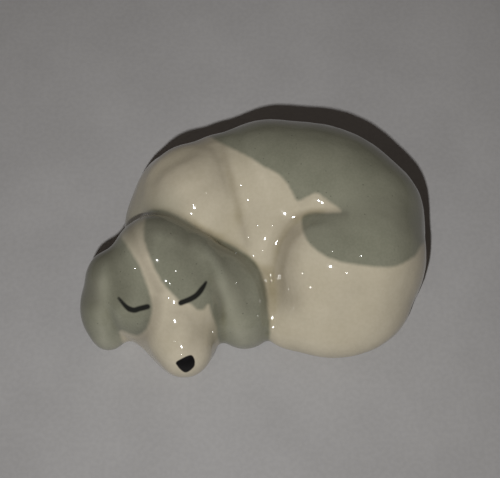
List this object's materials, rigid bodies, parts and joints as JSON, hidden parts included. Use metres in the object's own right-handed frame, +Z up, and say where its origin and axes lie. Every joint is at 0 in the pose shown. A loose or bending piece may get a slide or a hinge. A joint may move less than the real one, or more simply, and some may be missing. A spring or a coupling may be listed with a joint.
{
  "type": "dog figurine",
  "caption": "Small glazed ceramic ornament of a puppy asleep, curled up with its head laid against its flank, on a flat underside that stands on a shelf.",
  "frame": {"origin": "middle of the bounding box, on the flat underside", "axes": "+Z up, off the underside; +X along the longest side, from the head end to the rump end; -Y towards somebody who faces the puppy, the way its nose points"},
  "size_m": [0.066, 0.0538, 0.0223],
  "materials": {
    "glazed_porcelain": "ivory porcelain under a clear hard glaze, with grey-green patches and black eyes and nose painted under it"
  },
  "bodies": {
    "root": {"puppy": "glazed_porcelain"}
  },
  "joints": []
}
